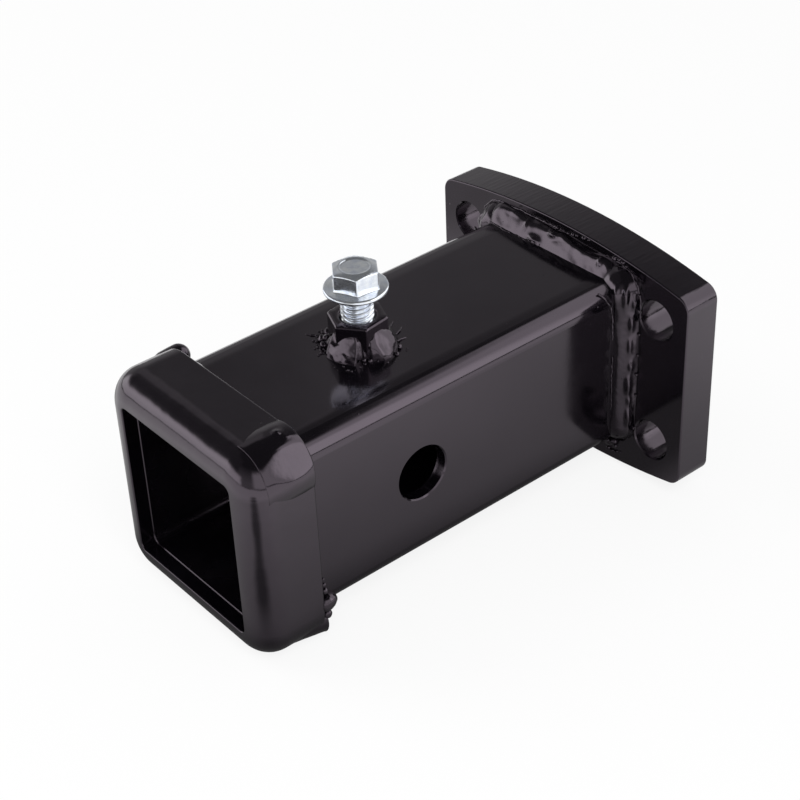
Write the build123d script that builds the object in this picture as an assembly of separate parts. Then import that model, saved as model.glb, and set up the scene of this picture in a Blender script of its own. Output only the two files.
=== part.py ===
from build123d import *
import os
from math import cos, radians, sin, sqrt

# Bolt-on receiver tube, millimetres.
# The tube runs along Y and its mouth looks towards -Y. +Z is up, on the set bolt's side.
# The origin is the middle of the four plate holes, on the plate's back face.

# Plate
plate_width = 110.4
plate_height_mid = 80.0
plate_height_side = 68.0
plate_thick = 13.2
plate_corner_r = 5.0
plate_edge_break = 0.5
bolt_spacing_x = 85.0
bolt_spacing_z = 45.0
bolt_hole_dia = 13.5
bolt_hole_break = 0.4

# Tube
overall_length = 162.0
tube_size = 60.0
tube_wall = 4.0
tube_corner_r = 5.8
tube_inner_r = 2.8
tube_end_break = 0.3
tube_axis_up = 1.0
pin_hole_dia = 17.8
pin_hole_break = 0.4
pin_from_mouth = 65.0
wall_hole_dia = 11.0

# Collar round the mouth
collar_band = 6.2
collar_depth = 22.0
collar_lip = 4.6
collar_corner_r = 12.0
collar_front_r = 9.3
collar_back_r = 0.8
mouth_play = 0.2
mouth_corner_r = 2.0
mouth_edge_r = 0.5

# Clamp nut and set bolt
bolt_from_mouth = 67.2
thread_dia = 10.0
nut_across_flats = 16.0
nut_height = 10.4
nut_turn = 37.7
nut_flat_dia = 16.8
nut_corner_drop = 0.4
nut_lead_in = 1.0
head_across_flats = 13.0
head_turn = 24.4
head_height = 7.8
head_flat_dia = 9.9
head_corner_drop = 0.8
head_dish_dia = 9.2
head_dish_deep = 0.3
flange_dia = 19.3
flange_rim = 1.2
flange_rim_r = 0.25
flange_cone_rise = 0.75
flange_cone_dia = 11.8
bolt_length = 20.0
bolt_gap = 8.6
bolt_point = 1.0

# Welds
plate_weld_r = 8.6
plate_weld_sink = 2.6
plate_weld_short = 16.0
plate_weld_shift = 3.0
side_weld_extra = 4.0
collar_weld_r = 4.4
collar_weld_arm_top = 13.0
collar_weld_arm_side = 7.0
collar_ridge_length = 13.0
collar_ridge_r = 7.5
collar_ridge_up = 1.0
nut_weld_base_dia = 20.2
nut_weld_top_dia = 18.7
nut_weld_height = 5.4
nut_weld_toe = 1.2
nut_lobe_r = 4.6
nut_lobe_out = 8.6
nut_lobe_turns = (47.0, 214.0)

# Clearances and working values
thread_clearance = 0.2
past = 1.0
near = 0.01

# Derived sizes
tube_bore = tube_size - 2 * tube_wall
half_tube = tube_size / 2
collar_size = tube_size + 2 * collar_band
half_collar = collar_size / 2
mouth_size = tube_bore + 2 * mouth_play
plate_weld_run = tube_size - plate_weld_short
mouth_y = -overall_length
plate_face_y = -plate_thick
tube_start_y = mouth_y + collar_lip
collar_back_y = mouth_y + collar_depth
pin_y = mouth_y + pin_from_mouth
bolt_y = mouth_y + bolt_from_mouth
tube_top_z = tube_axis_up + half_tube
nut_top_z = tube_top_z + nut_height
flange_under_z = nut_top_z + bolt_gap
bolt_tip_z = flange_under_z - bolt_length
thread_hole_r = (thread_dia + thread_clearance) / 2
diagonal = sin(radians(45))


def square_bar(size, corner_r, y_from, y_to):
    """A square bar with rounded corners along Y, on the tube's axis."""
    outline = Plane(origin=(0, y_to, tube_axis_up), x_dir=(1, 0, 0), z_dir=(0, -1, 0))
    return extrude(outline * RectangleRounded(size, size, corner_r), y_to - y_from)


def round_bar(radius, start, along, length):
    """A round bar from a start point in a given direction."""
    return extrude(Plane(origin=start, z_dir=along) * Circle(radius), length)


def flared_mouth(radius, edge_break, face_point, inwards):
    """The cone that breaks a round hole's edge on a face, reaching a little outside it."""
    mouth = Plane(origin=face_point, z_dir=inwards)
    widest = mouth.offset(-edge_break) * Circle(radius + 2 * edge_break)
    narrowest = mouth.offset(edge_break) * Circle(radius)
    return loft([widest.face(), narrowest.face()])


def turned(profile, z_from):
    """A turned shape on the bolt's axis from radius and height pairs."""
    points = [(r, 0, z) for r, z in profile]
    return Pos(0, bolt_y, z_from) * revolve(make_face(Polyline(*points, close=True)), Axis.Z, 360)


def hex_bar(across_flats, turn, z_from, height, flat_dia, corner_drop):
    """A hexagon bar on the bolt's axis, its top corners cut by a cone."""
    corner_r = across_flats / sqrt(3)
    bar = extrude(Plane.XY * RegularPolygon(corner_r, 6, rotation=turn), height)
    limit = turned([(0, 0), (corner_r, 0), (corner_r, height - corner_drop), (flat_dia / 2, height), (0, height)],
                   z_from)
    return (Pos(0, bolt_y, z_from) * bar) & limit


def edges_inside(shape, y, half_width):
    """The edges on one plane across the tube that lie inside a square on its axis."""
    on_plane = shape.edges().filter_by_position(Axis.Y, y - near, y + near)
    reach = half_width + near
    return [e for e in on_plane if max(abs(e.center().X), abs(e.center().Z - tube_axis_up)) < reach]


# Mounting plate: arched top and bottom edges, four bolt holes
plate_x = plate_width / 2
side_z = plate_height_side / 2
mid_z = plate_height_mid / 2
plate_edge = Curve() + [
    ThreePointArc((-plate_x, 0, side_z), (0, 0, mid_z), (plate_x, 0, side_z)),
    Line((plate_x, 0, side_z), (plate_x, 0, -side_z)),
    ThreePointArc((plate_x, 0, -side_z), (0, 0, -mid_z), (-plate_x, 0, -side_z)),
    Line((-plate_x, 0, -side_z), (-plate_x, 0, side_z)),
]
mounting_plate = extrude(make_face(plate_edge), plate_thick, dir=(0, -1, 0))
mounting_plate = fillet(mounting_plate.edges().filter_by(Axis.Y), plate_corner_r)
rim_edges = mounting_plate.edges().filter_by(lambda e: e.bounding_box().size.Y < near)
mounting_plate = fillet(rim_edges, plate_edge_break)
hole_cut = round_bar(bolt_hole_dia / 2, (0, past, 0), (0, -1, 0), plate_thick + 2 * past)
hole_cut += flared_mouth(bolt_hole_dia / 2, bolt_hole_break, (0, plate_face_y, 0), (0, 1, 0))
hole_cut += flared_mouth(bolt_hole_dia / 2, bolt_hole_break, (0, 0, 0), (0, -1, 0))
for hole_x in (-bolt_spacing_x / 2, bolt_spacing_x / 2):
    for hole_z in (-bolt_spacing_z / 2, bolt_spacing_z / 2):
        mounting_plate -= Pos(hole_x, 0, hole_z) * hole_cut

# Receiver tube: pin holes through both sides and a hole for the set bolt in the top
tube_block = square_bar(tube_size, tube_corner_r, tube_start_y, plate_face_y)
receiver_tube = tube_block - square_bar(tube_bore, tube_inner_r, tube_start_y, plate_face_y)
receiver_tube = chamfer(edges_inside(receiver_tube, tube_start_y, tube_bore / 2), tube_end_break)
pin_start = (-half_tube - past, pin_y, tube_axis_up)
receiver_tube -= round_bar(pin_hole_dia / 2, pin_start, (1, 0, 0), tube_size + 2 * past)
for side in (-1, 1):
    pin_face = (side * half_tube, pin_y, tube_axis_up)
    receiver_tube -= flared_mouth(pin_hole_dia / 2, pin_hole_break, pin_face, (-side, 0, 0))
receiver_tube -= round_bar(wall_hole_dia / 2, (0, bolt_y, tube_axis_up), (0, 0, 1), half_tube + past)

# Mouth collar: slips over the tube's end and closes over it with a rounded lip
collar_block = square_bar(collar_size, collar_corner_r, mouth_y, collar_back_y)
collar_block = fillet(collar_block.faces().sort_by(Axis.Y)[0].edges(), collar_front_r)
collar_block = fillet(collar_block.faces().sort_by(Axis.Y)[-1].edges(), collar_back_r)
mouth_collar = collar_block - square_bar(mouth_size, mouth_corner_r, mouth_y - past, tube_start_y)
mouth_collar -= square_bar(tube_size, tube_corner_r, tube_start_y, collar_back_y + past)
mouth_collar = fillet(edges_inside(mouth_collar, mouth_y, mouth_size / 2), mouth_edge_r)

# Room that the welds may not fill: the tube, and the plate with what lies behind it
tube_room = square_bar(tube_size, tube_corner_r, tube_start_y, 0)
plate_room = Box(2 * plate_width, 2 * plate_thick, 2 * plate_width)

# Welds between tube and plate: the side beads stop at those above and below the tube
root = half_tube - plate_weld_sink
root_y = plate_face_y + plate_weld_sink


def plate_bead(centre, along, run):
    """A bead along one side of the tube: a bar with ball ends sunk into the corner."""
    start = tuple(c - a * run / 2 for c, a in zip(centre, along))
    end = tuple(c + a * run / 2 for c, a in zip(centre, along))
    bead = round_bar(plate_weld_r, start, along, run)
    bead += Pos(*start) * Sphere(plate_weld_r)
    bead += Pos(*end) * Sphere(plate_weld_r)
    return bead - tube_room - plate_room


side_run = plate_weld_run + side_weld_extra
side_middle = tube_axis_up + side_weld_extra / 2
plate_weld_top = plate_bead((-plate_weld_shift, root_y, tube_axis_up + root), (1, 0, 0), plate_weld_run)
plate_weld_bottom = plate_bead((-plate_weld_shift, root_y, tube_axis_up - root), (1, 0, 0), plate_weld_run)
plate_weld_right = plate_bead((root, root_y, side_middle), (0, 0, 1), side_run)
plate_weld_right = plate_weld_right - plate_weld_top - plate_weld_bottom
plate_weld_left = plate_bead((-root, root_y, side_middle), (0, 0, 1), side_run)
plate_weld_left = plate_weld_left - plate_weld_top - plate_weld_bottom


# Welds at the collar's corners: a bead behind the collar and a low ridge on its corner
def collar_weld(side_x, side_z):
    """A bead round one corner of the tube, with a ridge forwards along the collar's corner."""
    arc_x = half_tube - tube_corner_r
    bend = arc_x + tube_corner_r * diagonal

    def at(x, z):
        return (side_x * x, collar_back_y, tube_axis_up + side_z * z)

    top_end = at(half_tube - collar_weld_arm_top, half_tube)
    side_end = at(half_tube, half_tube - collar_weld_arm_side)
    path = Curve() + [
        Line(top_end, at(arc_x, half_tube)),
        ThreePointArc(at(arc_x, half_tube), at(bend, bend), at(half_tube, arc_x)),
        Line(at(half_tube, arc_x), side_end),
    ]
    start = Plane(origin=top_end, z_dir=(side_x, 0, 0))
    bead = sweep(start * Circle(collar_weld_r), path=path, transition=Transition.ROUND)
    bead += Pos(*top_end) * Sphere(collar_weld_r)
    bead += Pos(*side_end) * Sphere(collar_weld_r)
    corner_reach = half_collar - collar_corner_r + collar_corner_r * diagonal
    ridge_at = corner_reach - (collar_ridge_r - collar_ridge_up) * diagonal
    ridge_run = collar_ridge_length - collar_ridge_r
    ridge_front = (side_x * ridge_at, collar_back_y - ridge_run, tube_axis_up + side_z * ridge_at)
    bead += round_bar(collar_ridge_r, ridge_front, (0, 1, 0), ridge_run + past)
    bead += Pos(*ridge_front) * Sphere(collar_ridge_r)
    return bead - tube_room - collar_block


collar_weld_top_right = collar_weld(1, 1)
collar_weld_top_left = collar_weld(-1, 1)
collar_weld_bottom_right = collar_weld(1, -1)
collar_weld_bottom_left = collar_weld(-1, -1)

# Clamp nut on the tube's top
nut_block = hex_bar(nut_across_flats, nut_turn, tube_top_z, nut_height, nut_flat_dia, nut_corner_drop)
lead_in = turned([(0, nut_height + past), (thread_hole_r + nut_lead_in + past, nut_height + past),
                  (thread_hole_r, nut_height - nut_lead_in), (0, nut_height - nut_lead_in)], tube_top_z)
nut_bore = round_bar(thread_hole_r, (0, bolt_y, tube_top_z - past), (0, 0, 1), nut_height + 2 * past)
clamp_nut = nut_block - nut_bore - lead_in

# Weld round the nut: a ring with a lump on either side
nut_weld = turned([(0, 0), (nut_weld_base_dia / 2, 0), (nut_weld_base_dia / 2, nut_weld_toe),
                   (nut_weld_top_dia / 2, nut_weld_height), (0, nut_weld_height)], tube_top_z)
for lobe_turn in nut_lobe_turns:
    lobe_x = nut_lobe_out * cos(radians(lobe_turn))
    lobe_y = bolt_y + nut_lobe_out * sin(radians(lobe_turn))
    nut_weld += Pos(lobe_x, lobe_y, tube_top_z) * Sphere(nut_lobe_r)
nut_weld -= nut_block
nut_weld -= tube_room
nut_weld -= round_bar(wall_hole_dia / 2, (0, bolt_y, tube_axis_up), (0, 0, 1), tube_size)

# Set bolt: hexagon head and flange in one piece with its shank
hex_foot = flange_rim + flange_cone_rise
flange_r = flange_dia / 2
set_bolt = turned([(0, 0), (flange_r - flange_rim_r, 0), (flange_r, flange_rim_r),
                   (flange_r, flange_rim - flange_rim_r), (flange_r - flange_rim_r, flange_rim),
                   (flange_cone_dia / 2, hex_foot), (0, hex_foot)], flange_under_z)
set_bolt += hex_bar(head_across_flats, head_turn, flange_under_z, head_height, head_flat_dia, head_corner_drop)
dish_r = head_dish_dia / 2
set_bolt -= turned([(0, head_height + past), (dish_r + past, head_height + past), (dish_r, head_height),
                    (dish_r - head_dish_deep, head_height - head_dish_deep),
                    (0, head_height - head_dish_deep)], flange_under_z)
shank_r = thread_dia / 2
shank_top = bolt_length + flange_rim
set_bolt += turned([(0, 0), (shank_r - bolt_point, 0), (shank_r, bolt_point), (shank_r, shank_top),
                    (0, shank_top)], bolt_tip_z)

parts = {
    "mounting_plate": mounting_plate,
    "receiver_tube": receiver_tube,
    "mouth_collar": mouth_collar,
    "plate_weld_top": plate_weld_top,
    "plate_weld_bottom": plate_weld_bottom,
    "plate_weld_right": plate_weld_right,
    "plate_weld_left": plate_weld_left,
    "collar_weld_top_right": collar_weld_top_right,
    "collar_weld_top_left": collar_weld_top_left,
    "collar_weld_bottom_right": collar_weld_bottom_right,
    "collar_weld_bottom_left": collar_weld_bottom_left,
    "clamp_nut": clamp_nut,
    "nut_weld": nut_weld,
    "set_bolt": set_bolt,
}

os.makedirs("parts", exist_ok=True)
for name, shape in parts.items():
    solids = shape.solids()
    print(name, "solids", len(solids), "volume", round(sum(s.volume for s in solids), 1),
          "box", shape.bounding_box())
    export_step(shape if len(solids) != 1 else solids[0], f"parts/{name}.step")
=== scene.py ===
import math
import random

import bmesh
import bpy
from mathutils import Matrix, Vector, noise


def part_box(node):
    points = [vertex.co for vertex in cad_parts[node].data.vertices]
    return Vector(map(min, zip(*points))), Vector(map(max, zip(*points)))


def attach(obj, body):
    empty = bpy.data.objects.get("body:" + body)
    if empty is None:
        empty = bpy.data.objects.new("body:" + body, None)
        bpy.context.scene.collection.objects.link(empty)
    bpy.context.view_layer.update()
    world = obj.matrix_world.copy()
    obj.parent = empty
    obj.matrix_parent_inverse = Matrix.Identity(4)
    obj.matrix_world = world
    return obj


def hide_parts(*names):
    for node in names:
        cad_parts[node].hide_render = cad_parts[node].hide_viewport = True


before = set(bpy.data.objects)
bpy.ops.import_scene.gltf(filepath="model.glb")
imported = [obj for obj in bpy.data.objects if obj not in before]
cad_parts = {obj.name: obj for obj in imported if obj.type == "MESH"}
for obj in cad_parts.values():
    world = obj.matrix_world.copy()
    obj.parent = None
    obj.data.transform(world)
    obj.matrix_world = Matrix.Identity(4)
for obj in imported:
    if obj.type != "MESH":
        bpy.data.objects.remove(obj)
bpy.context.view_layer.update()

# Sizes in millimetres, worked out from the frame where a node carries them
METRES = 0.001
MM = 1000.0


def box_mm(node):
    low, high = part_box(node)
    return low * MM, high * MM


tube_low, tube_high = box_mm("receiver_tube")
collar_low, collar_high = box_mm("mouth_collar")
nut_low, nut_high = box_mm("clamp_nut")
bolt_low, bolt_high = box_mm("set_bolt")
axis_up = (tube_low.z + tube_high.z) / 2
tube_half = (tube_high.x - tube_low.x) / 2
tube_corner_r = 5.8
bore_half = 26.0
collar_half = (collar_high.x - collar_low.x) / 2
collar_corner_r = 12.0
collar_back = collar_high.y
plate_front = -13.2
bolt_y = (bolt_low.y + bolt_high.y) / 2
weld_sink = 0.9
diagonal = math.sqrt(0.5)
along_y = Vector((0.0, 1.0, 0.0))
along_z = Vector((0.0, 0.0, 1.0))


# Node helpers
def new_material(name):
    material = bpy.data.materials.new(name)
    material.use_nodes = True
    material.node_tree.nodes.clear()
    return material, material.node_tree


def add(tree, kind, inputs=None, **settings):
    """One node with its settings; an input is a value or another node's output."""
    node = tree.nodes.new(kind)
    for name, value in settings.items():
        setattr(node, name, value)
    for name, value in (inputs or {}).items():
        if isinstance(value, bpy.types.NodeSocket):
            tree.links.new(value, node.inputs[name])
        else:
            node.inputs[name].default_value = value
    return node


def maths(tree, operation, first, second=0.0):
    return add(tree, "ShaderNodeMath", {0: first, 1: second}, operation=operation).outputs[0]


def ramp(tree, value, low, high, out_low=0.0, out_high=1.0, kind="SMOOTHSTEP"):
    inputs = {"Value": value, "From Min": low, "From Max": high, "To Min": out_low, "To Max": out_high}
    return add(tree, "ShaderNodeMapRange", inputs, interpolation_type=kind).outputs["Result"]


def split_xyz(tree, vector):
    split = add(tree, "ShaderNodeSeparateXYZ", {"Vector": vector})
    return split.outputs["X"], split.outputs["Y"], split.outputs["Z"]


def own_place(tree):
    return add(tree, "ShaderNodeTexCoord").outputs["Object"]


def grain(tree, place, size_mm, detail=2.0, stretch=(1.0, 1.0, 1.0), turn=(0.0, 0.0, 0.0)):
    """Noise of about that size on the piece's own coordinates."""
    mapped = add(tree, "ShaderNodeMapping", {"Vector": place, "Scale": stretch, "Rotation": turn})
    inputs = {"Vector": mapped.outputs[0], "Scale": MM / size_mm, "Detail": detail, "Roughness": 0.5}
    return add(tree, "ShaderNodeTexNoise", inputs).outputs["Fac"]


def bump(tree, height, depth_mm, below=None):
    inputs = {"Height": height, "Distance": depth_mm * METRES, "Strength": 1.0}
    if below is not None:
        inputs["Normal"] = below
    return add(tree, "ShaderNodeBump", inputs).outputs["Normal"]


def two_tones(tree, share, first, second):
    inputs = {"Factor": share, 6: first, 7: second}
    return add(tree, "ShaderNodeMix", inputs, data_type="RGBA").outputs[2]


def level_between(tree, share, first, second):
    return add(tree, "ShaderNodeMix", {0: share, 2: first, 3: second}, data_type="FLOAT").outputs[0]


# Gloss black powder coat. Size, detail and depth of the soft orange peel and of the fine one
coat_peels = ((5.0, 1.0, 0.012), (1.3, 1.0, 0.0022))
speck_cell = 4.0
speck_reach = 0.085
speck_chosen = (0.55, 0.60)
speck_high = 0.06
cloud_size, cloud_detail = 14.0, 3.0
cloud_span = (0.3, 0.7)
coat_roughness = (0.09, 0.16)
coat_deep_black = (0.0011, 0.0009, 0.0016, 1.0)
coat_pale_black = (0.0024, 0.0020, 0.0029, 1.0)
coat_gloss = {"IOR": 1.5, "Specular IOR Level": 1.0, "Specular Tint": (1.0, 0.84, 1.0, 1.0)}


def coat_skin(name):
    """Starts a coat: the orange peel and fine specks in the film."""
    material, tree = new_material(name)
    place = own_place(tree)
    normal = None
    for size, detail, deep in coat_peels:
        normal = bump(tree, grain(tree, place, size, detail), deep, normal)
    cells = add(tree, "ShaderNodeTexVoronoi", {"Vector": place, "Scale": MM / speck_cell})
    chosen = ramp(tree, cells.outputs["Color"], *speck_chosen)
    near = ramp(tree, cells.outputs["Distance"], speck_reach, 0.0)
    return material, tree, place, bump(tree, maths(tree, "MULTIPLY", near, chosen), speck_high, normal)


def coat_film(tree, place, normal, duller=None):
    """Ends a coat: near black with a slight purple cast, cloudy in gloss and shade."""
    cloud = grain(tree, place, cloud_size, cloud_detail)
    roughness = ramp(tree, cloud, *cloud_span, *coat_roughness, "LINEAR")
    if duller is not None:
        roughness = maths(tree, "ADD", roughness, duller)
    shade = ramp(tree, cloud, *cloud_span, kind="LINEAR")
    colour = two_tones(tree, shade, coat_deep_black, coat_pale_black)
    inputs = {"Base Color": colour, "Roughness": roughness, "Normal": normal, **coat_gloss}
    shader = add(tree, "ShaderNodeBsdfPrincipled", inputs)
    add(tree, "ShaderNodeOutputMaterial", {"Surface": shader.outputs[0]})


# Drag lines on the plate's rim: size, detail, stretch, turn and depth
drag_size, drag_detail = 1.4, 3.0
drag_stretch, drag_turn = (1.0, 0.14, 1.0), (0.0, 0.0, 0.5)
drag_deep = 0.09
rim_facing = (0.5, 0.2)


def plate_black():
    """The plate's coat over the drag lines that cutting left on its rim."""
    material, tree, place, normal = coat_skin("plate_gloss_black")
    facing = add(tree, "ShaderNodeTexCoord").outputs["Normal"]
    on_rim = ramp(tree, maths(tree, "ABSOLUTE", split_xyz(tree, facing)[1]), *rim_facing)
    drag = grain(tree, place, drag_size, drag_detail, drag_stretch, drag_turn)
    normal = bump(tree, maths(tree, "MULTIPLY", drag, on_rim), drag_deep, normal)
    coat_film(tree, place, normal)
    return material


# The tube's top is flat in the middle and falls off softly from here to there, by so much
crown_span = (20.2, 27.0)
crown_fall = 0.45
bore_span = (bore_half + 1.2, bore_half + 0.4)
bore_duller = 0.14


def tube_black():
    """The tube's coat: bent light at the top's edges, and a duller film in the bore."""
    material, tree, place, normal = coat_skin("tube_gloss_black")
    x, _, z = split_xyz(tree, place)
    off_x = maths(tree, "ABSOLUTE", x)
    crown = ramp(tree, off_x, *(across * METRES for across in crown_span), 1.0, 0.0)
    normal = bump(tree, crown, crown_fall, normal)
    off_z = maths(tree, "ABSOLUTE", maths(tree, "SUBTRACT", z, axis_up * METRES))
    inside = ramp(tree, maths(tree, "MAXIMUM", off_x, off_z), *(off * METRES for off in bore_span))
    coat_film(tree, place, normal, maths(tree, "MULTIPLY", inside, bore_duller))
    return material


# Size, detail and depth of the collar's uneven skin and of the ripple on the welds
hammering = (12.0, 2.0, 0.22)
weld_ripple = (2.6, 2.0, 0.03)


def uneven_black(name, size, detail, deep):
    """A coat over skin that is uneven by itself."""
    material, tree, place, normal = coat_skin(name)
    coat_film(tree, place, bump(tree, grain(tree, place, size, detail), deep, normal))
    return material


def collar_black():
    """The collar's coat over its slightly hammered skin."""
    return uneven_black("collar_gloss_black", *hammering)


def weld_black():
    """The welds' coat over their fine ripple."""
    return uneven_black("weld_gloss_black", *weld_ripple)


def nut_black():
    """The nut's plain coat."""
    material, tree, place, normal = coat_skin("nut_gloss_black")
    coat_film(tree, place, normal)
    return material


# Bright zinc plate: its cloudy patches, small dents and tones
zinc_cloud, zinc_cloud_detail, zinc_cloud_deep = 2.6, 4.0, 0.06
zinc_pit, zinc_pit_detail, zinc_pit_deep = 0.8, 2.0, 0.02
zinc_span = (0.35, 0.7)
zinc_roughness = (0.09, 0.24)
zinc_bright = (0.94, 0.97, 1.0, 1.0)
zinc_blue = (0.76, 0.81, 0.92, 1.0)
zinc_metallic = 0.92


def bright_zinc():
    """Bright zinc plate with a faint blue tone, small dents and cloudy patches."""
    material, tree = new_material("bright_zinc_plate")
    place = own_place(tree)
    cloud = grain(tree, place, zinc_cloud, zinc_cloud_detail)
    pits = grain(tree, place, zinc_pit, zinc_pit_detail)
    roughness = ramp(tree, cloud, *zinc_span, *zinc_roughness, "LINEAR")
    shade = ramp(tree, cloud, *zinc_span, kind="LINEAR")
    normal = bump(tree, pits, zinc_pit_deep, bump(tree, cloud, zinc_cloud_deep))
    inputs = {"Base Color": two_tones(tree, shade, zinc_bright, zinc_blue), "Metallic": zinc_metallic,
              "Roughness": roughness, "Normal": normal}
    shader = add(tree, "ShaderNodeBsdfPrincipled", inputs)
    add(tree, "ShaderNodeOutputMaterial", {"Surface": shader.outputs[0]})
    return material


# Mesh helpers
def finish_piece(name, bm, material, body, slot, *nodes):
    """Turns a bmesh in millimetres into a piece in metres that rides on its body."""
    bmesh.ops.recalc_face_normals(bm, faces=bm.faces)
    bmesh.ops.scale(bm, vec=(METRES, METRES, METRES), verts=bm.verts)
    for face in bm.faces:
        face.smooth = True
    mesh = bpy.data.meshes.new(name)
    bm.to_mesh(mesh)
    bm.free()
    mesh.materials.append(material)
    piece = bpy.data.objects.new(name, mesh)
    bpy.context.scene.collection.objects.link(piece)
    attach(piece, body)
    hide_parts(*nodes)


def finish_weld(name, bm, node):
    finish_piece(name, bm, weld_coat, "receiver", "gloss_black", node)


def join(bm, other):
    """Adds another bmesh as a shell of its own."""
    made = bpy.data.meshes.new("joined")
    other.to_mesh(made)
    other.free()
    bm.from_mesh(made)
    bpy.data.meshes.remove(made)


def stand(centre, along, side, radius):
    """The frame of one ring: its own Z runs along, its own X to the side."""
    along = along.normalized()
    across = along.cross(side).normalized()
    turned = Matrix((across.cross(along), across, along)).transposed().to_4x4()
    return Matrix.Translation(centre) @ turned @ Matrix.Diagonal((radius, radius, radius, 1.0))


def drawn_out(bm, edges, move):
    """Extrudes a ring of edges and moves the new ring."""
    made = bmesh.ops.extrude_edge_only(bm, edges=edges)["geom"]
    verts = [v for v in made if isinstance(v, bmesh.types.BMVert)]
    bmesh.ops.transform(bm, matrix=move, verts=verts)
    return [e for e in made if isinstance(e, bmesh.types.BMEdge)]


def ring_to(bm, edges, radius_of, height_of):
    """Draws a level ring out to a new radius and height, which may differ round the ring."""
    made = bmesh.ops.extrude_edge_only(bm, edges=edges)["geom"]
    for vert in (v for v in made if isinstance(v, bmesh.types.BMVert)):
        angle = math.atan2(vert.co.y, vert.co.x)
        radius = radius_of(angle)
        vert.co = (radius * math.cos(angle), radius * math.sin(angle), height_of(radius))
    return [e for e in made if isinstance(e, bmesh.types.BMEdge)]


def first_ring(bm, around, radius, matrix, closed):
    """A circle to draw rings out from, as its edges."""
    ring = bmesh.ops.create_circle(bm, segments=around, radius=radius, matrix=matrix, cap_ends=closed)
    return list({e for v in ring["verts"] for e in v.link_edges})


def ball_end(end, outward, radius, rings):
    """Place and width of each ring of a half ball, from its tip to the bar."""
    turns = [math.pi / 2 * step / rings for step in range(1, rings + 1)]
    return [(end + outward.normalized() * (math.cos(turn) * radius), math.sin(turn) * radius)
            for turn in turns]


def round_bead(bm, path, radius, side, around, cap_rings):
    """A round bar along the path, closed with a ball at each end."""
    first, last = path[0] - path[1], path[-1] - path[-2]
    stops = [(place, -first, width) for place, width in ball_end(path[0], first, radius, cap_rings)]
    stops += [(here, after - before, radius) for before, here, after in zip(path, path[1:], path[2:])]
    stops += [(place, last, width)
              for place, width in reversed(ball_end(path[-1], last, radius, cap_rings))]
    frames = [stand(centre, along, side, width) for centre, along, width in stops]
    edges = first_ring(bm, around, 1.0, frames[0], True)
    for old, new in zip(frames, frames[1:]):
        edges = drawn_out(bm, edges, new @ old.inverted())
    bmesh.ops.contextual_create(bm, geom=edges)


def square_depth(x, z, half, corner):
    """How far a point is outside a rounded square; below zero it is inside."""
    over_x, over_z = abs(x) - half + corner, abs(z - axis_up) - half + corner
    outside = math.hypot(max(over_x, 0.0), max(over_z, 0.0))
    return outside + min(max(over_x, over_z), 0.0) - corner


# Step for measuring a slope, and the share of it below which the slope counts as level
probe = 0.01
least_slope = 0.1


def pushed_out(point, half, corner, keep):
    """The point moved outwards until it lies at most that deep in a rounded square bar."""
    depth = square_depth(point.x, point.z, half, corner)
    if depth >= -keep:
        return point
    slope_x = square_depth(point.x + probe, point.z, half, corner) - depth
    slope_z = square_depth(point.x, point.z + probe, half, corner) - depth
    slope = Vector((slope_x, 0.0, slope_z))
    if slope.length < probe * least_slope:
        return point
    return point + slope.normalized() * (-keep - depth)


# Where the filled corners start, behind the collar's rounded front edge
corner_front = collar_low.y + 6.5
corner_zone = (corner_front - 0.5, collar_back - weld_sink)


def seat_on_metal(bm, use_collar=False):
    """Lets the hidden side of a weld end just below the skin of tube, plate and collar."""
    for vert in bm.verts:
        vert.co = pushed_out(vert.co, tube_half, tube_corner_r, weld_sink)
        if use_collar and corner_zone[0] < vert.co.y < corner_zone[1]:
            depth_side = -square_depth(vert.co.x, vert.co.z, collar_half, collar_corner_r)
            depth_back = collar_back - vert.co.y
            if depth_side > weld_sink and depth_back < depth_side:
                vert.co.y = collar_back - weld_sink
            elif depth_side > weld_sink:
                vert.co = pushed_out(vert.co, collar_half, collar_corner_r, weld_sink)
        vert.co.y = min(vert.co.y, plate_front + weld_sink)


# How far the noise moves on from one seed to the next
noise_steps = (17.3, 5.1, 9.7)


def roughen(bm, amount, size, seed, place=None):
    """Moves the skin in and out with noise of that size; place maps a point before the noise is read."""
    bm.normal_update()
    shift = Vector([seed * step for step in noise_steps])
    for vert in bm.verts:
        point = place(vert.co) if place else vert.co
        vert.co += vert.normal * (amount * noise.noise(point / size + shift))


# A dent ends at this many times its reach
dent_edge = 3.0


def dented(bm, marks):
    """Presses soft ovals into the skin, or raises it where the depth is below zero."""
    bm.normal_update()
    for vert in bm.verts:
        place, deep_here = vert.co, 0.0
        for at, reach, deep in marks:
            off = place - at
            if abs(off.x) < dent_edge * reach[0] and abs(off.z) < dent_edge * reach[2]:
                off = Vector((off.x / reach[0], off.y / reach[1], off.z / reach[2]))
                deep_here += deep * math.exp(-off.length_squared)
        if deep_here:
            vert.co -= vert.normal * deep_here


def planed(bm, point, facing, shoulder):
    """Takes the skin back to a plane with a soft shoulder."""
    facing = facing.normalized()
    for vert in bm.verts:
        over = (vert.co - point).dot(facing)
        if over > -shoulder:
            vert.co -= facing * (over + shoulder * math.exp(-(over + shoulder) / shoulder))


# A drop's own unevenness as shares of its radius
drop_rough, drop_rough_size = 0.25, 1.1


def lump(bm, at, radius, seed):
    """A small round drop of weld metal, as one separate uneven ball."""
    ball = bmesh.new()
    bmesh.ops.create_uvsphere(ball, u_segments=20, v_segments=14, radius=radius)
    bmesh.ops.translate(ball, verts=ball.verts, vec=at)
    roughen(ball, radius * drop_rough, radius * drop_rough_size, seed)
    join(bm, ball)


def line_of_points(start, end, step=0.5):
    count = max(2, round((end - start).length / step))
    return [start.lerp(end, i / count) for i in range(count + 1)]


# The thin rolls waver by noise that comes from the clock unless it has a seed other than zero
roll_seed = 1
noise.seed_set(roll_seed)
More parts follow.
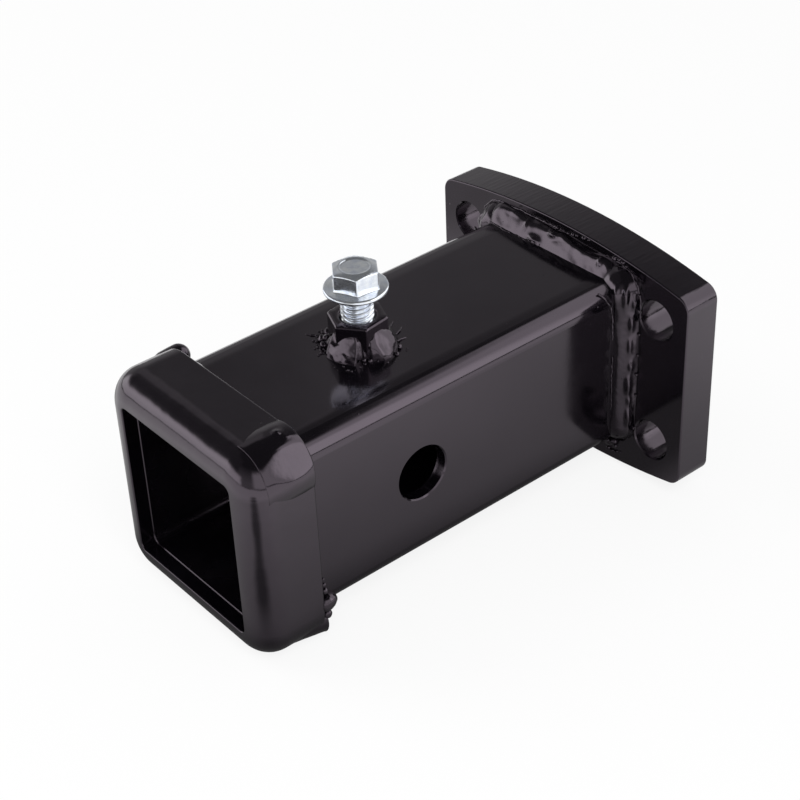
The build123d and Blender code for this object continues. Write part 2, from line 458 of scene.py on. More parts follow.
# Step along a thin roll, how quickly it wavers, and how its waves move on with the seed
roll_step = 0.35
roll_waviness = 0.8
roll_shift = (3.1, 0.7, 1.9)


def wavy_line(bm, corners, radius, seed, wave=0.22):
    """A thin uneven roll of metal through the corner points."""
    path = []
    for start, end in zip(corners, corners[1:]):
        path += line_of_points(Vector(start), Vector(end), roll_step)[:-1]
    step_x, steady_y, step_z = roll_shift
    shift = Vector((seed * step_x, steady_y, seed * step_z))
    path = [p + wave * noise.noise_vector(p * roll_waviness + shift) for p in path]
    round_bead(bm, path, radius, along_y, around=8, cap_rings=3)


# Welds round the tube at the plate
plate_bead_r = 8.6
plate_bead_y = plate_front + 2.6
bead_step = 0.42
# Height, size and seed step of the waves drawn out along a weld, by this share, and of its fine skin
bead_waves = ((0.45, 7.0, 0), (0.10, 2.8, 3))
bead_drawn = 0.45
bead_skin = (0.015, 0.9, 5)
last_seed_step = 8

level_bar_x = (-23.5, 19.0)
level_bar_z = 28.4
# The swelling towards the right end: place, reach and depth; then the worn flank: point, facing, shoulder
level_swelling = ((14.0, -13.5, 37.5), (9.0, 3.0, 3.0), -1.8)
level_flank = ((16.0, -17.2, 31.2), (0.022, -0.863, 0.506), 0.30)
level_rough = (0.12, 3.0)
level_dent_reach = 1.1
# x, y, z, half length, half height, depth
level_dents = (
    (3.0, -14.4, 36.6, 3.2, 0.8, 1.2), (8.0, -14.4, 37.0, 3.0, 0.9, 1.5), (12.0, -14.2, 37.6, 2.2, 0.7, 1.1),
    (-1.0, -15.0, 35.4, 1.6, 0.7, 0.8), (-12.5, -15.6, 33.6, 0.5, 1.8, 0.5),
    (-19.0, -14.6, 36.2, 5.0, 0.8, 0.5), (-7.5, -17.0, 31.8, 2.0, 0.9, 0.9),
    (19.8, -15.2, 34.6, 0.6, 1.6, 0.6))
# x, y, z, radius
level_lumps = (
    (-6.8, -17.3, 30.9, 1.3), (-4.6, -17.0, 30.9, 0.9), (-9.0, -17.4, 30.7, 0.8), (-3.2, -17.0, 30.9, 0.45),
    (-0.4, -13.5, 37.4, 0.65), (1.2, -13.4, 37.7, 0.45), (4.6, -13.5, 37.6, 0.55), (6.4, -13.4, 38.0, 0.7),
    (8.2, -13.4, 38.2, 0.55), (11.2, -13.4, 38.6, 0.8), (13.4, -13.4, 38.8, 0.5), (24.6, -13.3, 37.2, 0.9),
    (26.4, -13.2, 37.4, 0.7), (28.0, -13.2, 37.0, 0.8), (29.6, -13.2, 36.3, 0.5))
# Corner points and radius of the thin rolls
level_lines = (
    (((-27.2, -13.3, 34.6), (-25.4, -13.3, 36.0), (-18.0, -13.3, 37.0), (-12.4, -13.3, 36.9),
      (-4.0, -13.3, 37.3), (0.0, -13.3, 37.3)), 0.36),
    (((-27.0, -18.2, 30.9), (-20.0, -18.9, 30.9), (-13.5, -18.3, 30.9), (-8.8, -18.6, 30.9)), 0.30))

side_bar_x = 27.4
side_bar_z = (-21.0, 27.0)
side_rough = (0.06, 1.5)
# x, y, z, half width, half height, depth
side_dents = (
    (34.6, -15.4, 19.0, 0.75, 2.6, 1.2), (34.4, -15.6, 10.5, 0.55, 2.6, 0.8),
    (34.6, -15.2, 3.0, 0.7, 1.8, 1.1), (34.3, -15.7, -4.0, 0.85, 3.6, 1.5),
    (34.5, -15.4, -10.0, 0.55, 1.5, 0.9), (34.4, -15.5, -16.5, 0.75, 3.4, 1.4),
    (34.9, -14.8, 26.0, 0.6, 2.0, 1.1), (30.6, -18.9, 30.5, 0.9, 4.4, 0.9),
    (33.2, -16.9, 29.5, 0.8, 4.8, 0.9), (31.8, -18.2, 5.0, 1.2, 16.0, 0.25))
side_lumps = (
    (35.6, -13.4, 23.0, 0.7), (35.9, -13.3, 14.6, 0.5), (35.8, -13.4, 6.8, 0.45), (35.7, -13.5, -0.4, 0.6),
    (35.8, -13.4, -8.4, 0.5), (35.4, -13.5, -21.4, 0.6), (35.4, -13.3, 28.6, 0.6),
    (26.4, -14.6, -30.4, 1.9), (23.8, -14.2, -30.8, 1.2), (28.6, -15.2, -29.4, 1.5),
    (25.2, -16.4, -29.4, 0.9), (27.4, -16.8, -28.8, 0.6), (22.0, -13.8, -30.2, 0.6),
    (31.6, -17.6, -28.4, 0.7))
side_lines = (
    (((28.2, -23.6, 30.2), (29.6, -22.0, 28.2), (30.1, -20.2, 25.0), (30.1, -19.2, 20.0),
      (30.1, -18.9, 12.0)), 0.36),
    (((30.1, -18.8, 6.0), (30.1, -18.8, -6.0), (30.1, -18.6, -19.0)), 0.24),
    (((23.6, -13.2, 36.2), (27.0, -13.2, 36.4), (31.0, -13.2, 35.2), (34.4, -13.2, 31.6),
      (35.9, -13.2, 27.0), (36.0, -13.2, 20.0)), 0.36))


def bar_of_weld(start, end, seed, drawn):
    """The bar for one side of the tube, with long soft waves and a finer skin."""
    bm = bmesh.new()
    round_bead(bm, line_of_points(start, end, bead_step), plate_bead_r, along_y, around=128, cap_rings=20)
    for high, size, seed_step in bead_waves:
        roughen(bm, high, size, seed + seed_step, lambda p: p * drawn)
    high, size, seed_step = bead_skin
    roughen(bm, high, size, seed + seed_step)
    return bm


def drops_and_rolls(bm, at, lumps, lines, seed):
    for index, (x, y, z, radius) in enumerate(lumps):
        lump(bm, at(x, y, z), radius, seed + index)
    for index, (corners, radius) in enumerate(lines):
        wavy_line(bm, [at(*corner) for corner in corners], radius, seed + index)


def level_weld(node, up, seed):
    """Weld above or below the tube: a steep bright flank, a torn upper edge and a thin toe line."""
    def at(x, y, z):
        return Vector((x, y, axis_up + up * (z - axis_up)))

    left, right = (at(x, plate_bead_y, level_bar_z) for x in level_bar_x)
    bm = bar_of_weld(left, right, seed, Vector((bead_drawn, 1.0, 1.0)))
    place, reach, deep = level_swelling
    dented(bm, [(at(*place), reach, deep)])
    point, (x, y, z), shoulder = level_flank
    planed(bm, at(*point), Vector((x, y, z * up)), shoulder)
    dented(bm, [(at(x, y, z), (size_x, level_dent_reach, size_z), deep)
                for x, y, z, size_x, size_z, deep in level_dents])
    roughen(bm, *level_rough, seed + last_seed_step)
    seat_on_metal(bm)
    drops_and_rolls(bm, at, level_lumps, level_lines, seed)
    finish_weld(node + "_bead", bm, node)


def side_weld(node, side, seed):
    """Weld down one side of the tube: long pits beside the plate, grooves in its top end, drops below."""
    def at(x, y, z):
        return Vector((side * x, y, z))

    low, high = (at(side_bar_x, plate_bead_y, z) for z in side_bar_z)
    bm = bar_of_weld(low, high, seed, Vector((1.0, 1.0, bead_drawn)))
    dented(bm, [(at(x, y, z), (size_x, size_x, size_z), deep)
                for x, y, z, size_x, size_z, deep in side_dents])
    roughen(bm, *side_rough, seed + last_seed_step)
    seat_on_metal(bm)
    drops_and_rolls(bm, at, side_lumps, side_lines, seed)
    finish_weld(node + "_bead", bm, node)


# Welds at the collar's back, one round each corner of the tube, with the filled-up corner in front of it
collar_bead_r = 3.4
collar_arm_top = 13.0
collar_arm_side = 7.0
arm_step, arm_steps = 0.6, 12
arm_drop = 0.3
bend_steps = 14
collar_bead_rough = (0.35, 5.0)
# Height, size and seed step of the strands, and how little they change along the weld
strands = (0.50, 1.3, 3)
strand_drawn = 0.10
# Height, size and seed step of the noise on a filled corner
corner_rough = ((0.12, 5.5, 5), (0.02, 2.0, 7))
corner_back_soft, corner_front_soft = 0.6, 0.3
# Radius of the filled corner, y and how far it stands over the collar's own corner there,
# and how far behind the collar it may reach
full_corner = (11.4, ((-157.0, -1.5), (-154.6, -0.15), (-147.0, 1.6), (-144.0, 1.7), (-139.0, 0.9)), -0.2)
small_corner = (3.6, ((-143.0, 0.6), (-138.2, 0.9)), 6.0)
lower_corner = (6.0, ((-151.0, -0.3), (-137.5, 1.7)), 1.2)
# A point, the facing and the shoulder of the broad worn face on the full corner
full_corner_face = (Vector((34.60, -145.0, axis_up + 31.49)), Vector((0.819, -0.038, 0.574)), 0.35)
# Place, reach and depth of the small pits in its dark upper side
full_corner_pits = ((Vector((27.1, -145.2, axis_up + 36.6)), (0.9, 0.8, 2.0), 1.0),
                    (Vector((29.6, -144.6, axis_up + 35.9)), (0.7, 0.9, 2.0), 0.5))
# x, y, down from the axis and radius of the drops behind the collar's lower corners
crack_drops = ((34.0, -138.6, 22.0, 3.3), (35.2, -138.8, 26.2, 1.4), (35.5, -139.4, 17.0, 1.1),
               (35.6, -139.8, 14.4, 0.7), (35.8, -139.9, 12.2, 0.5))


def corner_path(side_x, side_z):
    """The line round a corner of the tube, from its top or bottom to its side."""
    arc = tube_half - tube_corner_r
    flat = [(tube_half - collar_arm_top + i * arm_step, tube_half) for i in range(arm_steps)]
    flat = [p for p in flat if p[0] < arc]
    bend = [(arc + tube_corner_r * math.sin(t), arc + tube_corner_r * math.cos(t))
            for t in (math.pi / 2 * i / bend_steps for i in range(bend_steps + 1))]
    down = [(tube_half, arc - arm_drop), (tube_half, tube_half - collar_arm_side)]
    return [Vector((side_x * x, collar_back, axis_up + side_z * z)) for x, z in flat + bend + down]


def over_skin(point):
    """A place that changes across the weld but hardly along it, for noise that draws strands."""
    over = square_depth(point.x, point.z, tube_half, tube_corner_r)
    round_it = abs(point.x) - abs(point.z - axis_up)
    return Vector((over, point.y - collar_back, strand_drawn * round_it))


def filled_corner(side_x, side_z, seed, corner):
    """The rounded fill along one long edge of the collar."""
    corner_r, stations, back_reach = corner
    bends = []
    for y, proud in stations:
        centre = collar_half - collar_corner_r + (collar_corner_r - corner_r + proud) * diagonal
        bends.append(Vector((side_x * centre, y, axis_up + side_z * centre)))
    runs = zip(bends, bends[1:])
    path = [p for start, end in runs for p in line_of_points(start, end)[:-1]] + bends[-1:]
    ridge = bmesh.new()
    round_bead(ridge, path, corner_r, along_z, around=96, cap_rings=24)
    for high, size, seed_step in corner_rough:
        roughen(ridge, high, size, seed + seed_step)
    if corner == full_corner:
        planed(ridge, *full_corner_face)
        dented(ridge, full_corner_pits)
    planed(ridge, Vector((0.0, collar_back + back_reach, 0.0)), along_y, corner_back_soft)
    planed(ridge, Vector((0.0, corner_front, 0.0)), -along_y, corner_front_soft)
    return ridge


def collar_weld(node, side_x, side_z, seed, corner, cracked=False):
    bm = bmesh.new()
    round_bead(bm, corner_path(side_x, side_z), collar_bead_r, along_y, around=72, cap_rings=12)
    roughen(bm, *collar_bead_rough, seed)
    high, size, seed_step = strands
    roughen(bm, high, size, seed + seed_step, over_skin)
    join(bm, filled_corner(side_x, side_z, seed, corner))
    seat_on_metal(bm, use_collar=True)
    if cracked:
        for index, (x, y, down, radius) in enumerate(crack_drops):
            lump(bm, Vector((side_x * x, y, axis_up + side_z * down)), radius, seed + index)
    finish_weld(node + "_bead", bm, node)


# Weld round the nut: turn in degrees, how far its toe lies from the bolt, how high it climbs the nut
nut_weld_turns = (
    (-180.0, 10.5, 3.0), (-154.0, 11.4, 2.6), (-129.0, 11.0, 3.0), (-110.0, 10.2, 5.0), (-94.0, 11.9, 7.4),
    (-70.0, 12.6, 7.9), (-48.0, 12.4, 7.8), (-37.0, 10.2, 6.4), (-28.0, 9.3, 4.0), (-14.0, 10.8, 6.6),
    (2.0, 12.0, 8.0), (14.0, 12.5, 8.1), (28.0, 12.3, 7.0), (49.0, 11.7, 5.2), (73.0, 11.6, 3.6),
    (100.0, 11.2, 3.2), (135.0, 10.6, 3.0), (180.0, 10.5, 3.0))
nut_weld_inner = 7.4
# Its section from the nut out to the toe: share of the way out, share of the climb
nut_weld_section = ((0.0, 1.0), (0.22, 0.99), (0.42, 0.93), (0.60, 0.80), (0.76, 0.58), (0.88, 0.34),
                    (0.96, 0.12), (1.01, -0.10))
section_cuts = 6
nut_weld_steps = 200
# The broad faces: a point from the bolt's axis at the tube's top, the facing and the shoulder
nut_weld_faces = (((4.95, -10.16, 0.3), (0.40, -0.815, 0.42), 0.6),
                  ((0.0, -11.2, 0.6), (0.02, -0.905, 0.43), 0.6),
                  ((10.6, 1.0, 3.4), (0.84, 0.10, 0.52), 0.8))
# Height, size and seed of its unevenness
nut_weld_rough = ((0.20, 3.8, 11), (0.07, 1.7, 12), (0.02, 0.8, 13))
# Turn, distance out, height over the tube and radius of single lumps
nut_lumps = (
    (-160.0, 10.4, 0.9, 1.6), (-142.0, 11.2, 0.6, 1.3), (-122.0, 10.4, 0.8, 1.3), (-132.0, 9.6, 2.2, 1.1),
    (-86.0, 9.4, 0.5, 0.9), (-40.0, 9.4, 0.4, 0.9), (-30.0, 9.6, 0.3, 1.0), (-21.0, 10.4, 0.2, 0.8),
    (36.0, 12.2, 0.3, 0.9), (20.0, 12.8, 0.2, 0.7), (172.0, 9.9, 0.8, 1.4))
# Spatter: how many drops, where on the left and on the right in degrees, how far from the toe, how large
spatter_seed = 5
spatter_count = 84
spatter_left = (-168.0, -104.0)
spatter_right = (-70.0, 40.0)
spatter_right_each = 4
spatter_out = (-1.0, 2.6)
spatter_r = (0.14, 0.46)
spatter_stands = 0.35
# Runs of metal on the tube's top: from, to and radius
runs = (
    ((-8.8, -99.2), (-15.0, -103.4), 0.34), ((-9.2, -97.0), (-13.6, -99.6), 0.26),
    ((2.6, -86.0), (-2.4, -80.2), 0.32), ((5.2, -85.8), (1.8, -80.0), 0.26),
    ((7.4, -86.8), (6.8, -82.6), 0.28))
run_start_up = 0.5
run_wave = 0.35
run_seed = 3


def nut_weld_at(turn):
    """How far out and how high the weld goes in that direction, eased between the stations."""
    for (a, out_a, up_a), (b, out_b, up_b) in zip(nut_weld_turns, nut_weld_turns[1:]):
        if a <= turn <= b:
            share = (1 - math.cos(math.pi * (turn - a) / (b - a))) / 2
            return out_a + (out_b - out_a) * share, up_a + (up_b - up_a) * share


def nut_weld_body(bm):
    """The weld's section spun round the nut, then drawn to its toe and climb in each direction."""
    verts = [bm.verts.new((1.0 + out, 0.0, up)) for out, up in nut_weld_section]
    edges = [bm.edges.new(pair) for pair in zip(verts, verts[1:])]
    bmesh.ops.subdivide_edges(bm, edges=edges, cuts=section_cuts)
    bmesh.ops.spin(bm, geom=bm.verts[:] + bm.edges[:], cent=(0.0, 0.0, 0.0), axis=along_z,
                   dvec=(0.0, 0.0, 0.0), angle=2 * math.pi, steps=nut_weld_steps,
                   use_merge=True, use_duplicate=False)
    for vert in bm.verts:
        turn = math.atan2(vert.co.y, vert.co.x)
        toe, climb = nut_weld_at(math.degrees(turn))
        out = nut_weld_inner + (math.hypot(vert.co.x, vert.co.y) - 1.0) * (toe - nut_weld_inner)
        vert.co = (out * math.cos(turn), bolt_y + out * math.sin(turn), tube_high.z + vert.co.z * climb)


def on_tube_top(angle, out, up):
    return Vector((out * math.cos(angle), bolt_y + out * math.sin(angle), tube_high.z + up))


def spatter(bm):
    """Small drops on the tube's top beside the weld."""
    draw = random.Random(spatter_seed)
    for index in range(spatter_count):
        angle = math.radians(draw.uniform(*(spatter_left if index % spatter_right_each else spatter_right)))
        out = nut_weld_at(math.degrees(angle))[0] + draw.uniform(*spatter_out)
        drop_r = draw.uniform(*spatter_r)
        place = Matrix.Translation(on_tube_top(angle, out, drop_r * spatter_stands))
        bmesh.ops.create_icosphere(bm, subdivisions=2, radius=drop_r, matrix=place)


def nut_weld():
    bm = bmesh.new()
    nut_weld_body(bm)
    for (x, y, z), facing, shoulder in nut_weld_faces:
        planed(bm, Vector((x, bolt_y + y, tube_high.z + z)), Vector(facing), shoulder)
    for high, size, seed in nut_weld_rough:
        roughen(bm, high, size, seed)
    for index, (turn, out, up, radius) in enumerate(nut_lumps):
        lump(bm, on_tube_top(math.radians(turn), out, up), radius, index)
    spatter(bm)
    for start, end, width in runs:
        ends = [(*start, tube_high.z + run_start_up), (*end, tube_high.z)]
        wavy_line(bm, ends, width, run_seed, run_wave)
    for vert in bm.verts:
        vert.co.z = max(vert.co.z, tube_high.z - weld_sink)
    finish_weld("nut_weld_ring", bm, "nut_weld")


def hexagon_r(angle, flats, turn):
    """A hexagon's own radius in that direction."""
    sixth = math.pi / 3
    return flats / 2 / math.cos((angle - turn) % sixth - sixth / 2)


# Nut
nut_flats = 16.0
nut_corner_turn = math.radians(37.7)
nut_hole_r = 5.1
nut_around = 144
# Rings of its countersunk hole: how much wider than the hole, how far below the top
nut_countersink = ((0.0, 0.9), (0.75, 0.12), (0.95, 0.0), (1.1, 0.0))
# Rings of its top edge: how far inside the hexagon, the widest radius, how far below the top
nut_chamfer = ((0.34, 8.5, 0.0), (0.25, 8.6, 0.05), (0.05, math.inf, 0.42), (0.0, math.inf, 0.54),
               (0.0, math.inf, 0.7))
nut_foot_ring = 0.2


def clamp_nut():
    """The nut with its small chamfer and the countersink of its hole."""
    foot, top = nut_low.z, nut_high.z

    def bore(wider):
        return lambda angle: nut_hole_r + wider

    def hexagon(inside, widest=math.inf):
        return lambda angle: min(hexagon_r(angle, nut_flats, nut_corner_turn) - inside, widest)

    rings = [(bore(wider), top - down) for wider, down in nut_countersink]
    rings += [(hexagon(inside, widest), top - down) for inside, widest, down in nut_chamfer]
    rings += [(hexagon(0.0), foot + nut_foot_ring), (hexagon(0.0), foot), (bore(0.0), foot)]
    bm = bmesh.new()
    edges = first_ring(bm, nut_around, nut_hole_r, Matrix.Translation((0.0, 0.0, foot)), False)
    for radius_of, height in rings:
        edges = ring_to(bm, edges, radius_of, lambda radius, height=height: height)
    bmesh.ops.remove_doubles(bm, verts=bm.verts, dist=0.001)
    bmesh.ops.translate(bm, verts=bm.verts, vec=(0.0, bolt_y, 0.0))
    finish_piece("clamp_nut_body", bm, nut_coat, "receiver", "gloss_black", "clamp_nut")


# Set bolt
thread_pitch = 1.5
crest_r = 4.96
core_r = 4.1
tip_bevel = 0.9
flange_under = 50.0
flange_r = 9.65
flange_rim = 1.2
cone_rise = 0.75
cone_r = 5.9
head_flats = 13.0
head_turn = math.radians(24.4)
head_top = bolt_high.z
head_flat_r = 4.95
corner_drop = 0.8
dish_r = 4.6
dish_deep = 0.3
bolt_around = 144
# Rings of its skin. Neck: wider than the core, below the flange
neck_rings = ((0.0, 0.8), (0.5, 0.15), (0.9, 0.0))
# Round of the flange's rim: inside the rim, off its flat faces; then inside the rim on the cone
rim_rings = ((0.45, 0.0), (0.12, 0.12), (0.0, 0.42))
cone_rings = (0.45, 0.6)
# Foot of the hexagon: wider than it, over the cone; its brow: inside it, below the chamfer
foot_rings = ((0.45, 0.0), (0.35, 0.0), (0.08, 0.1), (0.0, 0.4), (0.0, 0.5))
brow_rings = ((0.0, 0.4), (0.0, 0.3), (0.09, 0.07), (0.35, 0.0))
# Head: wider than its flat, below the top; dish: wider than the dish, below the top
crown_rings = ((0.12, 0.05), (-0.08, 0.0))
dish_rings = ((0.06, 0.0), (-0.1, 0.08), (-0.35, dish_deep), (-0.8, dish_deep))
# Thread: where it starts over the tip and ends under the flange, and half the width of root and crest
thread_from, thread_to = 0.6, 1.4
thread_root, thread_crest = 0.60, 0.10
thread_bevel = 0.05
thread_sunk = 0.3
steps_per_turn = 48


def cone_z(radius):
    return flange_under + flange_rim + cone_rise * (flange_r - radius) / (flange_r - cone_r)


def chamfer_z(radius):
    corner_r = head_flats / math.sqrt(3)
    return head_top - corner_drop * max(0.0, radius - head_flat_r) / (corner_r - head_flat_r)


def bolt_rings():
    """Radius and height of each ring, from the tip to the dish in the head."""
    def round_at(radius):
        return lambda angle: radius

    def hexagon(wider):
        return lambda angle: hexagon_r(angle, head_flats, head_turn) + wider

    def level(height):
        return lambda radius: height

    def over_cone(up):
        return lambda radius: cone_z(radius) + up

    def below_chamfer(down):
        return lambda radius: chamfer_z(radius) - down

    rings = [(round_at(core_r), level(bolt_low.z + tip_bevel))]
    rings += [(round_at(core_r + wider), level(flange_under - down)) for wider, down in neck_rings]
    rings += [(round_at(flange_r - inside), level(flange_under + up)) for inside, up in rim_rings]
    rings += [(round_at(flange_r - inside), level(flange_under + flange_rim - down))
              for inside, down in reversed(rim_rings[1:])]
    rings += [(round_at(flange_r - inside), over_cone(0.0)) for inside in cone_rings]
    rings += [(hexagon(wider), over_cone(up)) for wider, up in foot_rings]
    rings += [(hexagon(-inside), below_chamfer(down)) for inside, down in brow_rings]
    rings += [(round_at(head_flat_r + wider), level(head_top - down)) for wider, down in crown_rings]
    rings += [(round_at(dish_r + wider), level(head_top - down)) for wider, down in dish_rings]
    return rings


def bolt_body(bm):
    """Shank, flange and hexagon head as one turned shape."""
    tip = Matrix.Translation((0.0, 0.0, bolt_low.z))
    edges = first_ring(bm, bolt_around, core_r - tip_bevel, tip, True)
    for radius_of, height_of in bolt_rings():
        edges = ring_to(bm, edges, radius_of, height_of)
    bmesh.ops.contextual_create(bm, geom=edges)


def bolt_thread(bm):
    """One ridge with slightly rounded edges, wound round the shank."""
    start, end = bolt_low.z + thread_from, flange_under - thread_to
    steps = round((end - start) / thread_pitch * steps_per_turn)
    slope = Vector((crest_r - core_r, thread_root - thread_crest)).normalized() * thread_bevel
    flank = [(core_r - thread_sunk, thread_root), (core_r, thread_root),
             (core_r + slope.x, thread_root - slope.y), (crest_r - slope.x, thread_crest + slope.y),
             (crest_r, thread_crest - thread_bevel / 2)]
    profile = [(radius, -up) for radius, up in flank] + [(radius, up) for radius, up in reversed(flank)]
    face = bm.faces.new([bm.verts.new((radius, 0.0, start + up)) for radius, up in profile])
    bmesh.ops.spin(bm, geom=[face], cent=(0.0, 0.0, 0.0), axis=along_z,
                   dvec=(0.0, 0.0, thread_pitch / steps_per_turn),
                   angle=2 * math.pi * steps / steps_per_turn, steps=steps,
                   use_merge=False, use_duplicate=False)


def set_bolt():
    bm = bmesh.new()
    bolt_body(bm)
    bolt_thread(bm)
    bmesh.ops.translate(bm, verts=bm.verts, vec=(0.0, bolt_y, 0.0))
    finish_piece("set_bolt_flanged", bm, zinc, "bolt", "bright_zinc", "set_bolt")


# Studio, in metres. The floor touches the plate's lower edge and the collar's underside
tent_r = 1.6
tent_centre = Vector((0.0, -0.1, 0.0))
floor_r = tent_r * 0.98
floor_gap = 0.0002
floor_low = Vector((0.0, -0.013, -0.040))
floor_high = Vector((0.0, -0.1527, -0.0352))
floor_paper = (0.86, 0.86, 0.86, 1.0)
floor_white_share = 0.87
# The part's footprint; then how far from it the painted shade round the part fades and the floor brightens,
# from which level to which
foot_half_x, foot_middle_y, foot_half_y = 0.034, -0.081, 0.079
painted_shade_fades = ((0.13, 0.36, 1.05), (0.022, 0.30, 1.0))
# Soft painted shade on the floor as the gloss mirrors it: centre x and y, radius, darkest level
painted_floor_shades = (
    ((-0.155, -0.105), 0.085, 0.40), ((0.054, -0.188), 0.024, 0.26), ((0.073, -0.210), 0.026, 0.24),
    ((0.096, -0.238), 0.030, 0.24), ((0.124, -0.270), 0.036, 0.28), ((0.128, 0.050), 0.110, 0.78))
painted_shade_core = 0.25
# The tent's own brightness falls from the horizon up; each patch: azimuth from +Y towards +X,
# elevation, softness in degrees, brightness
tent_low, tent_high = (16.0, 0.34), (52.0, 0.05)
tent_patches = (
    ((-12.0, 66.0), (-20.0, 57.0), 5.0, 1.20),
    ((49.0, 74.0), (-20.0, 42.0), 6.0, 1.95),
    ((74.0, 135.0), (-20.0, 42.0), 8.0, 1.0),
    ((-200.0, -97.0), (-6.0, 22.0), 5.0, 1.55),
    ((173.0, 200.0), (-6.0, 22.0), 5.0, 1.45),
    ((-150.0, -105.0), (11.0, 22.0), 5.0, 1.85),
    ((-175.0, -104.0), (27.0, 60.0), 5.0, 0.09),
    ((-92.0, -64.0), (32.0, 50.0), 6.0, 0.30),
    ((-67.0, -56.8), (27.0, 45.0), 2.5, 0.165),
    ((-55.0, -49.5), (27.0, 45.0), 2.0, 0.235),
    ((-200.0, 200.0), (-4.0, 2.2), 1.4, 0.12),
)
world_light = 0.55
# Name, place, width and power of the lamps
lamps = (("key_lamp", (0.9, -0.5, 1.2), 0.9, 14.0), ("fill_lamp", (-1.0, -0.8, 1.0), 1.0, 8.0))
lamps_aim = Vector((0.0, -0.08, 0.0))
camera_place = (0.36751, -0.37320, 0.33458)
camera_right = Vector((0.64345, 0.76453, -0.03831))
camera_down = Vector((0.42066, -0.39496, -0.81673))
camera_ahead = Vector((-0.63954, 0.50942, -0.57574))
camera_lens, camera_sensor = 84.214, 36.0


def distance(tree, off_x, off_y):
    squares = [maths(tree, "POWER", off, 2.0) for off in (off_x, off_y)]
    return maths(tree, "SQRT", maths(tree, "ADD", *squares))


def floor_with_painted_shade(tree):
    """White far out, with painted shade close to the part and at its front corners."""
    x, y, _ = split_xyz(tree, own_place(tree))
    out_x = maths(tree, "MAXIMUM", maths(tree, "SUBTRACT", maths(tree, "ABSOLUTE", x), foot_half_x), 0.0)
    from_middle = maths(tree, "ABSOLUTE", maths(tree, "SUBTRACT", y, foot_middle_y))
    out_y = maths(tree, "MAXIMUM", maths(tree, "SUBTRACT", from_middle, foot_half_y), 0.0)
    away = distance(tree, out_x, out_y)
    # Painted shade: the floor's glow darkens towards the part, standing in for its shadow
    near, far = (ramp(tree, away, 0.0, *fade) for fade in painted_shade_fades)
    level = maths(tree, "MULTIPLY", near, far)
    for (shade_x, shade_y), radius, darkest in painted_floor_shades:
        off = distance(tree, maths(tree, "SUBTRACT", x, shade_x), maths(tree, "SUBTRACT", y, shade_y))
        level = maths(tree, "MULTIPLY", level, ramp(tree, off, radius * painted_shade_core, radius, darkest, 1.0))
    return level


def seen_rays(tree, rays):
    """One for rays of the camera, reflections and clear materials."""
    seen = maths(tree, "MAXIMUM", rays.outputs["Is Camera Ray"], rays.outputs["Is Glossy Ray"])
    return maths(tree, "MAXIMUM", seen, rays.outputs["Is Transmission Ray"])


def pale_floor():
    """Pale paper that takes the part's shadow, and shows the floor with painted shade in reflections."""
    material, tree = new_material("pale_floor")
    rays = add(tree, "ShaderNodeLightPath")
    glossy = rays.outputs["Is Glossy Ray"]
    share = maths(tree, "MULTIPLY", seen_rays(tree, rays),
                  ramp(tree, glossy, 0.0, 1.0, floor_white_share, 1.0, "LINEAR"))
    # In reflections the floor is glow only, carrying its painted shade
    level = level_between(tree, glossy, 1.0, floor_with_painted_shade(tree))
    paper = add(tree, "ShaderNodeBsdfDiffuse", {"Color": floor_paper})
    glow = add(tree, "ShaderNodeEmission", {"Color": (1.0, 1.0, 1.0, 1.0), "Strength": level})
    mixed = add(tree, "ShaderNodeMixShader", {0: share, 1: paper.outputs[0], 2: glow.outputs[0]})
    add(tree, "ShaderNodeOutputMaterial", {"Surface": mixed.outputs[0]})
    return material


def staged(name, bm, material):
    """A piece of the studio, which isn't part of the object."""
    mesh = bpy.data.meshes.new(name)
    bm.to_mesh(mesh)
    bm.free()
    mesh.materials.append(material)
    holder = bpy.data.objects.new(name, mesh)
    bpy.context.scene.collection.objects.link(holder)
    return holder


def studio_floor():
    bm = bmesh.new()
    bmesh.ops.create_circle(bm, segments=96, radius=floor_r, cap_ends=True)
    rise = math.atan2(floor_high.z - floor_low.z, floor_low.y - floor_high.y)
    middle = (floor_low + floor_high) / 2 - Vector((0.0, 0.0, floor_gap))
    bm.transform(Matrix.Translation(middle) @ Matrix.Rotation(-rise, 4, "X"))
    staged("studio_floor", bm, pale_floor())


def within(tree, value, low, high, soft):
    """One between the two bounds, falling softly to zero outside them."""
    return maths(tree, "MULTIPLY", ramp(tree, value, low - soft, low + soft),
                 ramp(tree, value, high + soft, high - soft))


def tent_panels():
    """Soft bright and dark panels, by the direction from the tent's centre."""
    material, tree = new_material("tent_panels")
    centred = add(tree, "ShaderNodeVectorMath", {0: own_place(tree), 1: tent_centre}, operation="SUBTRACT")
    unit = add(tree, "ShaderNodeVectorMath", {0: centred.outputs[0]}, operation="NORMALIZE")
    east, north, up = split_xyz(tree, unit.outputs[0])
    azimuth = maths(tree, "DEGREES", maths(tree, "ARCTAN2", east, north))
    elevation = maths(tree, "DEGREES", maths(tree, "ARCSINE", up))
    level = ramp(tree, elevation, tent_low[0], tent_high[0], tent_low[1], tent_high[1], "LINEAR")
    for azimuths, elevations, soft, value in tent_patches:
        inside = maths(tree, "MULTIPLY", within(tree, azimuth, *azimuths, soft),
                       within(tree, elevation, *elevations, soft))
        level = level_between(tree, inside, level, value)
    glow = add(tree, "ShaderNodeEmission", {"Strength": level})
    add(tree, "ShaderNodeOutputMaterial", {"Surface": glow.outputs[0]})
    return material


def studio_tent():
    """A shell with soft bright and dark panels that only reflections see."""
    bm = bmesh.new()
    bmesh.ops.create_uvsphere(bm, u_segments=96, v_segments=48, radius=tent_r)
    bmesh.ops.translate(bm, verts=bm.verts, vec=tent_centre)
    bmesh.ops.reverse_faces(bm, faces=bm.faces)
    tent = staged("studio_tent", bm, tent_panels())
    tent.visible_camera = False
    tent.visible_diffuse = False
    tent.visible_shadow = False
    tent.visible_transmission = False


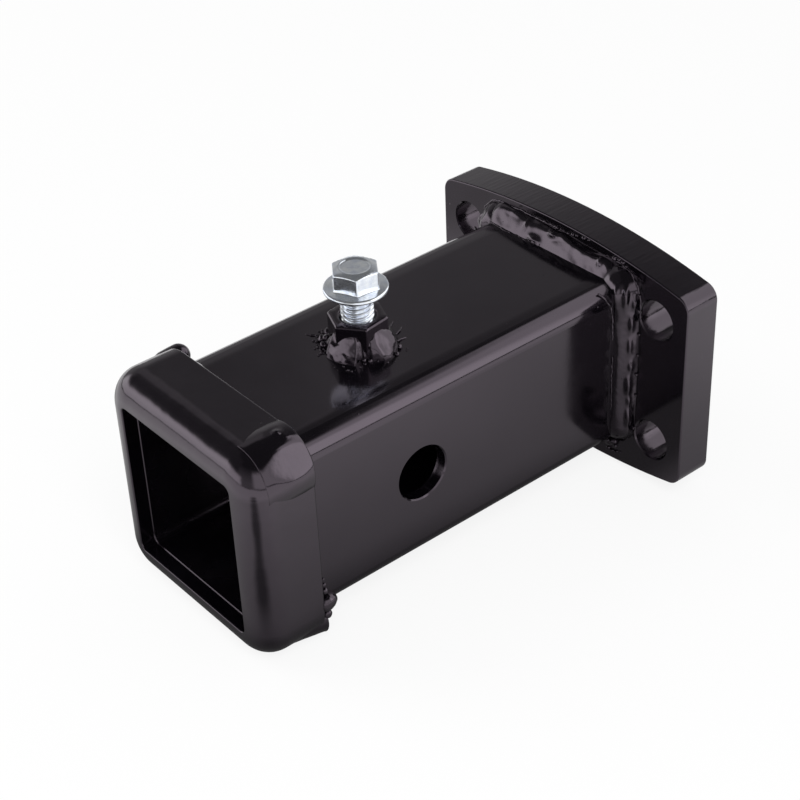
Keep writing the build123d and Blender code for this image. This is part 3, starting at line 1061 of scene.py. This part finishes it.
def studio_world():
    """White for the camera and for reflections that leave the tent, plain soft light for the rest."""
    world = bpy.data.worlds.new("plain_studio")
    world.use_nodes = True
    tree = world.node_tree
    tree.nodes.clear()
    seen = seen_rays(tree, add(tree, "ShaderNodeLightPath"))
    strength = ramp(tree, seen, 0.0, 1.0, world_light, 1.0, "LINEAR")
    sky = add(tree, "ShaderNodeBackground", {"Color": (1.0, 1.0, 1.0, 1.0), "Strength": strength})
    add(tree, "ShaderNodeOutputWorld", {"Surface": sky.outputs[0]})
    bpy.context.scene.world = world


def studio_lamp(name, place, size, power):
    lamp = bpy.data.lights.new(name, "AREA")
    lamp.shape = "DISK"
    lamp.size = size
    lamp.energy = power
    holder = bpy.data.objects.new(name, lamp)
    holder.location = place
    holder.rotation_euler = (lamps_aim - Vector(place)).to_track_quat("-Z", "Y").to_euler()
    holder.visible_glossy = False
    bpy.context.scene.collection.objects.link(holder)


def studio_camera():
    data = bpy.data.cameras.new("photo_camera")
    data.sensor_width = camera_sensor
    data.lens = camera_lens
    data.clip_start = 0.01
    data.clip_end = 10.0
    camera = bpy.data.objects.new("photo_camera", data)
    turn = Matrix((camera_right, -camera_down, -camera_ahead)).transposed()
    camera.rotation_mode = "QUATERNION"
    camera.rotation_quaternion = turn.to_quaternion()
    camera.location = camera_place
    bpy.context.scene.collection.objects.link(camera)
    bpy.context.scene.camera = camera


def dress_node(node, material):
    """Gives a CAD node its finish."""
    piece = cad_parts[node]
    piece.data.materials.clear()
    piece.data.materials.append(material)


plate_coat = plate_black()
tube_coat = tube_black()
collar_coat = collar_black()
nut_coat = nut_black()
weld_coat = weld_black()
zinc = bright_zinc()

dress_node("mounting_plate", plate_coat)
dress_node("receiver_tube", tube_coat)
dress_node("mouth_collar", collar_coat)
level_weld("plate_weld_top", 1, 1)
level_weld("plate_weld_bottom", -1, 2)
side_weld("plate_weld_right", 1, 3)
side_weld("plate_weld_left", -1, 4)
collar_weld("collar_weld_top_right", 1, 1, 21, full_corner)
collar_weld("collar_weld_top_left", -1, 1, 22, small_corner)
collar_weld("collar_weld_bottom_right", 1, -1, 23, lower_corner, cracked=True)
collar_weld("collar_weld_bottom_left", -1, -1, 24, lower_corner, cracked=True)
clamp_nut()
nut_weld()
set_bolt()

studio_floor()
studio_tent()
studio_world()
for lamp in lamps:
    studio_lamp(*lamp)
studio_camera()

settings = bpy.context.scene.view_settings
settings.view_transform = "Standard"
